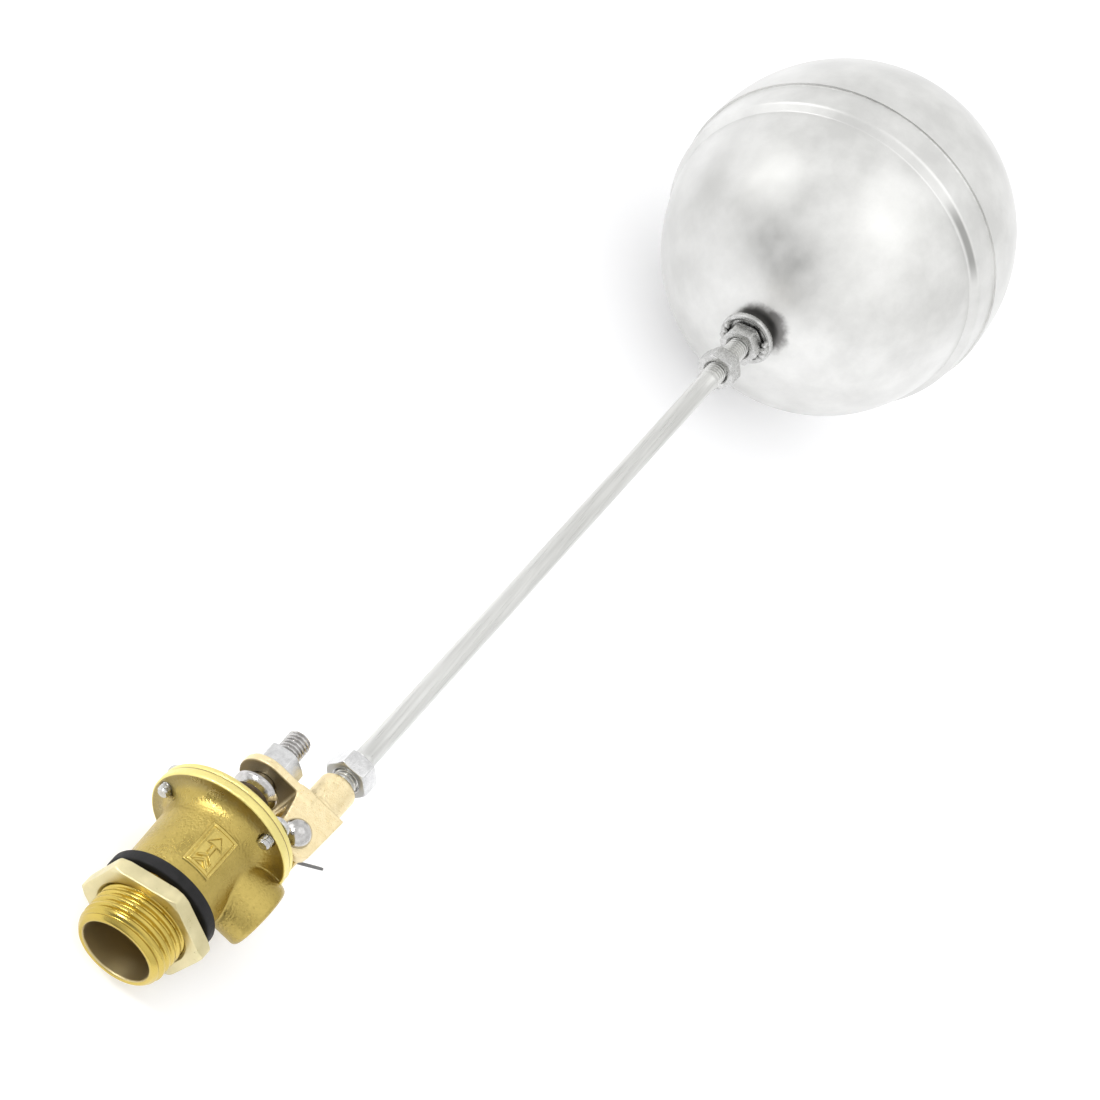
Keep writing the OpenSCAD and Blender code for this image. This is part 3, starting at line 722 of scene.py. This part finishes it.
def flow_panel():
    """A raised panel on the side of the neck, as a thin closed plate bent round it."""
    centre_x, half_x, half_y, spacing = 25.8, 5.8, 3.7, 0.085
    edge_w, edge_drop, thickness = 0.25, 0.15, 0.6
    xs = np.arange(-half_x, half_x + spacing, spacing)
    ys = np.arange(-half_y, half_y + spacing, spacing)
    u, v = np.meshgrid(xs, ys, indexing="ij")
    neck = NECK_R + NECK_FLARE * (u + centre_x - NECK_X) / (FLANGE_X - NECK_X)
    edge = np.maximum(np.abs(u) - half_x, np.abs(v) - half_y) + edge_w
    top = neck + panel_height(u, v) - edge_drop * np.clip(edge / 0.2, 0, 1)
    around = v / NECK_R
    sheets = []
    for radius in (top, neck - thickness):
        sheet = np.stack([u + centre_x, radius * np.sin(around), radius * np.cos(around)], 2)
        sheets.append(sheet.reshape(-1, 3))
    rows, columns = u.shape
    count = rows * columns
    faces = []
    for i in range(rows - 1):
        for j in range(columns - 1):
            a = i * columns + j
            b = a + columns
            faces.append([a, b, b + 1, a + 1])
            faces.append([count + a, count + a + 1, count + b + 1, count + b])
    rim = list(range(columns))
    rim += [i * columns + columns - 1 for i in range(1, rows)]
    rim += [(rows - 1) * columns + j for j in range(columns - 2, -1, -1)]
    rim += [i * columns for i in range(rows - 2, 0, -1)]
    for a, b in zip(rim, rim[1:] + rim[:1]):
        faces.append([a, b, count + b, count + a])
    return np.concatenate(sheets), faces


def ring(x0, x1, inner_r, outer_r, edge):
    """A flat ring along X with softened edges."""
    return rounded([(x0, inner_r), (x0, outer_r), (x1, outer_r), (x1, inner_r)], edge, 5, closed=True)


def cover_screw():
    """A pan-head screw with a cross slot and a fine thread; its tip shows in front of the flange."""
    tip, seat, pitch, depth = SCREW_TIP_X, COVER_BACK + 0.05, 0.5, 0.25
    head_r, head_h, slot_w, slot_length, slot_floor = 2.6, 2.0, 0.8, 3.6, 0.8
    xs = np.arange(tip + 0.45, seat, pitch / 10)

    def shank(angle):
        crest = thread(xs, angle, SCREW_R, pitch, depth, tip, seat + 5, 0.6)
        point = [(tip, 0), (tip, SCREW_R - 0.4)]
        return point + list(zip(xs, crest)) + [(seat + 0.2, SCREW_R), (seat + 0.2, 0)]

    def head_field(x, y, z):
        r = np.sqrt(y * y + z * z)
        pan = overlap(r - head_r, between(x, seat, seat + head_h), 0.3)
        pan = overlap(pan, np.sqrt((x - seat + 1.6) ** 2 + r * r) - 3.7, 0.5)
        upright = np.maximum(np.abs(y) - slot_w / 2, np.abs(z) - slot_length / 2)
        level = np.maximum(np.abs(z) - slot_w / 2, np.abs(y) - slot_length / 2)
        cross = np.maximum(np.minimum(upright, level), seat + slot_floor - x)
        return without(pan, cross, 0.15)

    head = skin(head_field, (seat - 0.5, -3.3, -3.3), (seat + 2.5, 3.3, 3.3), 0.12)
    return merged(spin(shank, 48, closed=False), head)


def pilot_nozzle():
    """Drilled nozzle with a collar that sits on the dome."""
    foot, collar, collar_r, tip_r = DOME_X + 0.05, DOME_X + 2, 3.2, 1.5
    return spin(rounded([
        (ROOF_X, NOZZLE_BORE_R), (ROOF_X, NOZZLE_R), (foot, NOZZLE_R), (foot, collar_r),
        (collar, collar_r), (collar + 0.6, NOZZLE_R), (NOZZLE_TIP_X, tip_r),
        (NOZZLE_TIP_X, NOZZLE_BORE_R),
    ], 0.15, 4, closed=True), 64)


def pivot_pin():
    """Pin with a polished domed head, built along X and then stood on the pivot."""
    head = LEVER_W / 2 + 0.1
    ball_r = (HEAD_R ** 2 + HEAD_H ** 2) / (2 * HEAD_H)
    sweep = math.acos((ball_r - HEAD_H) / ball_r)
    dome = arc(head + HEAD_H - ball_r, ball_r, sweep, 0, 28)
    shank = rounded([(PIN_BOTTOM, 0), (PIN_BOTTOM, PIN_R), (head, PIN_R), (head, HEAD_R - 0.05)], 0.3)
    return moved(spin(shank + dome, 96, closed=False), along_z)


def split_pin():
    """One bent wire: an eye, two legs through the pin, one left straight and one bent aside."""
    eye_r, wire, leg, hole, apart, bend_r, low = 1.3, 0.38, 10.2, PIN_R + 1, 0.36, 4, 8.3
    eye = arc(-hole - eye_r, eye_r, math.radians(35), math.radians(325), 28)
    straight = [(x, apart) for x in np.linspace(-hole + 0.3, hole + leg, 24)]
    bent = [(x, -apart) for x in np.linspace(-hole + 0.3, hole + 0.6, 12)]
    bent += [(hole + 0.6 + bend_r * math.sin(a), -apart - bend_r * (1 - math.cos(a)))
             for a in np.linspace(0.1, 1.0, 10)]
    path = straight[::-1] + eye + bent
    turn = math.radians(31.7)
    lead = np.array([math.sin(turn), -math.cos(turn), 0])
    points = [PIVOT + lead * along + UNIT[2] * (across - low) for along, across in path]
    return tube(points, wire)


def pad_profile():
    """Half section of the rubber pad, with a chamfer round its front face."""
    chamfer = 0.25
    return rounded([
        (PAD_X, 0), (PAD_X, PAD_R - chamfer), (PAD_X + chamfer, PAD_R), (PAD_BACK, PAD_R), (PAD_BACK, 0),
    ], 0.2, 5)


def bolt_profile(angle):
    """Pad bolt: a rounded cup head that holds the pad, and an M6 thread."""
    front, cup_floor, back, thread_x, tip = 48.95, 50.85, 52.0, 56.4, 68.8
    cup_r, widest_r = 4.25, 5.7
    xs = np.arange(back + 0.3, tip - 0.6, M6_PITCH / 14)
    screw = thread(xs, angle, M6_R, M6_PITCH, M6_DEPTH, thread_x, tip + 1, 1.0)
    head = rounded([
        (cup_floor, 0), (cup_floor, cup_r), (front + 0.1, cup_r, 0.1), (front, 4.4, 0.1),
        (front + 0.9, 5.2, 0.8), (front + 1.8, widest_r, 0.7), (back - 0.4, 5.5, 0.6),
        (back - 0.1, 4.6, 0.6), (back, 3.6, 0.3), (back, M6_R + 0.1),
    ], 0.2, 7)
    end = [(tip - 0.5, M6_R - 0.35), (tip - 0.1, M6_R - 0.75), (tip, M6_R - 1.0), (tip, 0)]
    return head + list(zip(xs, screw)) + end


def rod_profile(angle):
    """Float rod: rolled M6 thread at both ends, a plain drawn stretch between them."""
    first = np.arange(ROD_START + 0.6, LEVER_THREAD_END + 0.4, M6_PITCH / 12)
    second = np.arange(FLOAT_THREAD_START - 0.4, ROD_END - 0.5, M6_PITCH / 12)
    middle = np.linspace(LEVER_THREAD_END + 0.9, FLOAT_THREAD_START - 0.9, 24)
    start = thread(first, angle, M6_R, M6_PITCH, M6_DEPTH, ROD_START, LEVER_THREAD_END, 1.2)
    end = thread(second, angle, M6_R, M6_PITCH, M6_DEPTH, FLOAT_THREAD_START, ROD_END + 2, 1.2)
    points = [(ROD_START, 0), (ROD_START, M6_R - 0.6)] + list(zip(first, start))
    points += [(x, ROD_R) for x in middle] + list(zip(second, end))
    return points + [(ROD_END, M6_R - 0.6), (ROD_END, 0)]


def dented(x, angle, size):
    """Slow unevenness of a pressed shell, in millimetres."""
    return size * (np.sin(3 * angle + 0.09 * x + 0.7) * np.sin(0.13 * x + 1.9)
                   + 0.6 * np.sin(5 * angle - 0.05 * x + 2.1) + 0.4 * np.sin(8 * angle + 0.11 * x))


def shell(outside, steps=320):
    """A thin pressed shell from its outer profile, which runs towards its open end."""
    outer = np.array(outside, float)
    slope = np.gradient(outer, axis=0)
    slope /= np.linalg.norm(slope, axis=1)[:, None]
    inner = outer + FLOAT_WALL * np.stack([slope[:, 1], -slope[:, 0]], 1)
    inner[:, 1] = np.maximum(inner[:, 1], 0)

    def profile(angle):
        fade = np.clip(outer[:, 1] / 12, 0, 1)
        uneven = outer.copy()
        uneven[:, 1] += dented(outer[:, 0], angle, 0.035) * fade
        return np.concatenate([uneven, inner[::-1]])

    return spin(profile, steps, closed=False)


def front_shell():
    """Front dome, the shoulder, and the belt up to the seam."""
    centre = FLOAT_REACH + FRONT_SHIFT
    meet = math.acos((SHOULDER_X - FRONT_SHIFT) / FRONT_R)
    dome = arc(centre, FRONT_R, math.pi, meet, 110)
    belt_start = (FLOAT_REACH + SHOULDER_X + 1.9, FLOAT_R - 0.75, 0.8)
    belt = rounded([dome[-2], dome[-1], belt_start, (FLOAT_REACH + SEAM_X - 0.05, FLOAT_R)], 0.5, 6)
    return shell(dome[:-1] + belt[1:])


def rear_shell():
    """Rear dome; its profile runs from the pole to the seam."""
    centre = FLOAT_REACH + REAR_SHIFT
    dome = arc(centre, FLOAT_R, 0, math.pi / 2, 110)
    wall = [(x, FLOAT_R) for x in np.linspace(centre - 0.8, FLOAT_REACH + SEAM_X, 6)]
    return shell(dome + wall)


def weld_seam():
    """Thin bead between the shells, with the small ripples of a weld."""
    middle, half_w, foot = FLOAT_REACH + SEAM_X, 0.75, FLOAT_R - 0.1

    def profile(angle):
        ripple = 0.02 * math.sin(170 * angle) + 0.02 * math.sin(67 * angle)
        top = FLOAT_R + 0.16 + ripple
        bead = ((-half_w, foot), (-0.45, top - 0.12), (0, top), (0.45, top - 0.12), (half_w, foot))
        return [(middle + dx, r) for dx, r in bead]

    return spin(profile, 1020)


def float_plate():
    """Round plate with a raised rim, a short hub into the dome, and two weld runs round the nut."""
    pole = FLOAT_REACH + FRONT_SHIFT - FRONT_R
    face, back, hub_end, weld_r = PLATE_X + 0.5, PLATE_X + PLATE_H, pole + 0.4, 6.3
    plate = spin(rounded([
        (face, 0), (face, 6.2), (PLATE_X, 6.6), (PLATE_X, PLATE_R - 0.2), (face, PLATE_R),
        (back, PLATE_R), (back, 5.2), (hub_end, 5.0), (hub_end, 0),
    ], 0.25, 5), 128, closed=False)
    parts = [plate]
    for run_angle in (2.78, 5.8):
        for step in (-0.42, -0.14, 0.14, 0.42):
            y = weld_r * math.cos(run_angle + step)
            z = weld_r * math.sin(run_angle + step)
            blob = [(PLATE_X + x, y, z) for x in (-0.9, -0.3, 0.3, 1.0)]
            parts.append(tube(blob, 1.25 - abs(step) * 0.9, 18))
    return merged(*parts)


def in_rod_frame(shape):
    return moved(shape, rod_frame)


add_piece("body_casting", "valve_body",
          skin(body_field, (14.2, -19.4, -18), (39.2, 18, 18), CASTING_CELL))
add_piece("inlet_thread", "valve_body", inlet_tube())
add_piece("flow_panel", "valve_body", flow_panel())
add_piece("back_nut_hexagon", "back_nut", hex_nut(
    BACK_NUT_X, BACK_NUT_H, BACK_NUT_FLATS, THREAD_HOLE_R, BACK_NUT_TURN, face=1.07, slope=0.4, edge=0.2))
washer = ring(WASHER_X, WASHER_BACK, THREAD_HOLE_R, WASHER_R, 0.5)
add_piece("washer_ring", "tank_washer", spin(washer, 160))
gasket = ring(GASKET_X, GASKET_BACK, CHAMBER_R, GASKET_R, 0.05)
add_piece("gasket_ring", "body_gasket", spin(gasket, 160))
add_piece("cover_casting", "cover",
          skin(cover_field, (34.2, -18, -18), (51.4, 18, 18), CASTING_CELL))
screw = moved(cover_screw(), Matrix.Translation((0, SCREW_RING, 0)))
for index in range(3):
    turned_screw = moved(screw, Matrix.Rotation(index * TAU / 3, 4, "X"))
    add_piece(f"cover_screw_{index + 1}", "cover_screws", turned_screw)
add_piece("nozzle", "pilot_nozzle", pilot_nozzle())
add_piece("pivot_pin_domed", "pivot_pin", pivot_pin())
add_piece("split_pin_wire", "split_pin", split_pin())
add_piece("lever_casting", "lever",
          skin(lever_field, (41.2, -19.4, -7.2), (68.2, 7.2, 7.2), LEVER_CELL))
add_piece("pad_disc", "valve_pad", spin(pad_profile(), 96, closed=False))
add_piece("pad_bolt_cup", "pad_bolt", spin(bolt_profile, 96, closed=False))
add_piece("bolt_nut", "pad_bolt_nut", hex_nut(BOLT_NUT_X, NUT_H, NUT_FLATS, M6_HOLE_R, 10))
add_piece("rod", "float_rod", in_rod_frame(spin(rod_profile, 56, closed=False)))
for name, node, nut_x, height, nut_turn in (
    ("lock_nut_lever", "rod_nut_lever", LEVER_NUT_X, NUT_H, 20),
    ("lock_nut_float", "rod_nut_float", FLOAT_NUT_X, NUT_H, 14),
    ("welded_nut", "float_nut", WELDED_NUT_X, WELDED_NUT_H, 0),
):
    add_piece(name, node, in_rod_frame(hex_nut(nut_x, height, NUT_FLATS, M6_HOLE_R, nut_turn)))
add_piece("float_plate", "float_flange", in_rod_frame(float_plate()))
add_piece("float_front", "float_front_shell", in_rod_frame(front_shell()))
add_piece("float_rear", "float_rear_shell", in_rod_frame(rear_shell()))
add_piece("float_seam", "float_weld_seam", in_rod_frame(weld_seam()))

# The piston's parts keep their CAD shape, with softened edges
for node in ("main_piston", "seat_rubber", "bleed_screw", "piston_cup_seal", "piston_nut"):
    part = frame["nodes"][node]
    part.data.materials.clear()
    part.data.materials.append(materials[slot_of[node]])
    bevel = part.modifiers.new("soft_edges", "BEVEL")
    bevel.width = 0.12 * MM
    bevel.segments = 2


# ---------------------------------------------------------------- stage, light and camera
ROOM_LEVEL = 1.0
# Where the room is brighter or darker: a direction, the cosines where it starts and ends, the change
ROOM_PATCHES = [
    ((-0.49, -0.43, 0.76), 0.6, 0.98, 0.16),
    ((-0.93, 0.36, -0.06), 0.70, 0.98, -0.58),
]


def plain_material(name, colour, roughness, glow=0.0):
    material = new_material(name)
    shader = material.node_tree.nodes["Principled BSDF"]
    shader.inputs["Base Color"].default_value = (*colour, 1)
    shader.inputs["Roughness"].default_value = roughness
    shader.inputs["Emission Color"].default_value = (*colour, 1)
    shader.inputs["Emission Strength"].default_value = glow
    return material


def add_floor():
    """A pale table under the float and the back nut; unscrewed, the nut's corner dips 1 mm into it."""
    roll = math.radians(-3.5)
    ball = rod_frame @ Vector((FLOAT_REACH, 0, 0))
    nut_x = BACK_NUT_X + BACK_NUT_H
    nut_gap, ball_gap = 0.1, 0.5
    nut_low = nut_gap - 1000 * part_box("back_nut")[0].z
    ball_r = FLOAT_R + ball_gap
    run = ball.x - nut_x
    rise = nut_low + ball.y * math.sin(roll)
    pitch = math.asin(ball_r / math.hypot(run, rise)) - math.atan2(rise, run)
    normal = Vector((math.sin(pitch), math.cos(pitch) * math.sin(roll), math.cos(pitch) * math.cos(roll)))
    along = (Vector((1, 0, 0)) - normal * normal.x).normalized()
    near, far = 400, 2500
    mesh = bpy.data.meshes.new("floor")
    corners = [(-near, -far, 0), (far, -far, 0), (far, far, 0), (-near, far, 0)]
    mesh.from_pydata([Vector(c) * MM for c in corners], [], [(0, 1, 2, 3)])
    mesh.materials.append(plain_material("floor_white", (0.95, 0.95, 0.96), 0.9, glow=0.17))
    floor = bpy.data.objects.new("floor", mesh)
    bpy.context.scene.collection.objects.link(floor)
    turn = Matrix((along, normal.cross(along), normal)).transposed().to_4x4()
    floor.matrix_world = Matrix.Translation((ball - normal * ball_r) * MM) @ turn


def add_area_light(name, direction, distance, size, power, target, spread_deg=180):
    light = bpy.data.lights.new(name, "AREA")
    light.shape = "DISK"
    light.spread = math.radians(spread_deg)
    light.size = size
    light.energy = power
    lamp = bpy.data.objects.new(name, light)
    away = Vector(direction).normalized()
    lamp.location = target + away * distance
    lamp.rotation_mode = "QUATERNION"
    lamp.rotation_quaternion = (-away).to_track_quat("-Z", "Y")
    bpy.context.scene.collection.objects.link(lamp)


def add_world():
    """A pale room with a bright side and a darker side, which the float and the bright steel reflect."""
    world = bpy.data.worlds.new("studio")
    bpy.context.scene.world = world
    world.use_nodes = True
    add = node_adder(world.node_tree)
    direction = add("ShaderNodeTexCoord").outputs["Generated"]
    strength = add("ShaderNodeValue").outputs["Value"]
    strength.default_value = ROOM_LEVEL
    for toward, start, end, change in ROOM_PATCHES:
        facing = add("ShaderNodeVectorMath", {0: direction}, operation="DOT_PRODUCT")
        facing.inputs[1].default_value = Vector(toward).normalized()
        patch = add("ShaderNodeMapRange", {"Value": facing.outputs["Value"]},
                    interpolation_type="SMOOTHERSTEP")
        patch.inputs["From Min"].default_value = start
        patch.inputs["From Max"].default_value = end
        patch.inputs["To Max"].default_value = change
        total = add("ShaderNodeMath", {0: patch.outputs["Result"], 1: strength}, operation="ADD")
        strength = total.outputs[0]
    background = world.node_tree.nodes["Background"]
    background.inputs["Color"].default_value = (1.0, 1.0, 1.0, 1)
    world.node_tree.links.new(strength, background.inputs["Strength"])


def add_camera():
    """Camera above and in front of the inlet, rolled so that the rod rises to the right."""
    right = Vector((0.48513, -0.70605, 0.51589))
    up = Vector((0.5803, 0.70128, 0.41407))
    place = Vector((-0.23543, 0.04401, 0.45320))
    camera = bpy.data.cameras.new("camera")
    camera.sensor_width = 36
    camera.lens = 80.18
    holder = bpy.data.objects.new("camera", camera)
    back = right.cross(up)
    holder.matrix_world = Matrix.Translation(place) @ Matrix((right, up, back)).transposed().to_4x4()
    bpy.context.scene.collection.objects.link(holder)
    bpy.context.scene.camera = holder


add_floor()
add_world()
middle = (cad_box[0] + cad_box[1]) / 2
float_centre = rod_frame @ Vector((FLOAT_REACH, 0, 0)) * MM
# Distances and sizes of the lights are in metres, their power in watts, the spread in degrees
add_area_light("key", (-0.18, 0.93, 0.33), 0.9, 0.5, 0.6, float_centre)
add_area_light("top", (0.1, -0.1, 1.0), 1.0, 0.9, 0.8, middle)
add_area_light("gloss", (-0.28, 0.70, 0.65), 0.6, 0.2, 0.06, Vector((25, 0, 0)) * MM, 26)
add_camera()
bpy.context.scene.view_settings.view_transform = "Standard"
